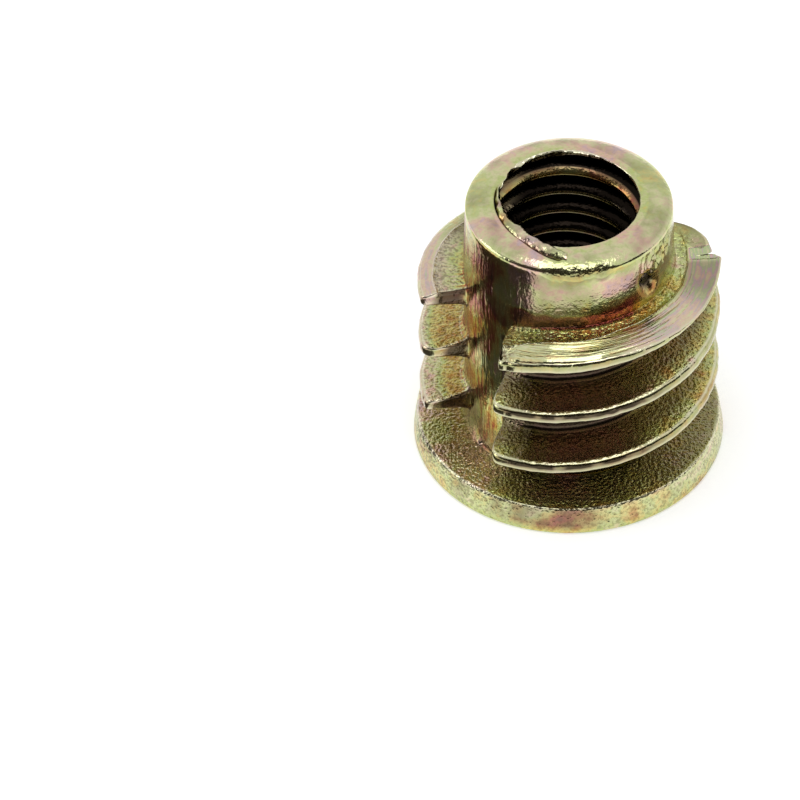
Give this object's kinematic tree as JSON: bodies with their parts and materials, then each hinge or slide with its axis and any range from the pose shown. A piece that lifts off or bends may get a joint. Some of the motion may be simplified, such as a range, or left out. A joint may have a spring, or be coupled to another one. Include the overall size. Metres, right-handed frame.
{
  "type": "hex drive flanged insert nut",
  "caption": "Flanged threaded insert for timber: a hollow metal barrel with a coarse outer helix cut by a flute, a threaded bore and a hexagonal drive socket.",
  "frame": {"origin": "on the axis, at the flange's outer face, on which the part stands", "axes": "+Z along the axis from the flange to the pilot's end; +X towards the side where the top blade runs out; the flute lies between 195 and 239 degrees from +X, counted towards +Y"},
  "size_m": [0.0158, 0.0158, 0.0155],
  "materials": {
    "yellow_zinc_plate": null
  },
  "bodies": {
    "root": {"insert_body": "yellow_zinc_plate"}
  },
  "joints": []
}
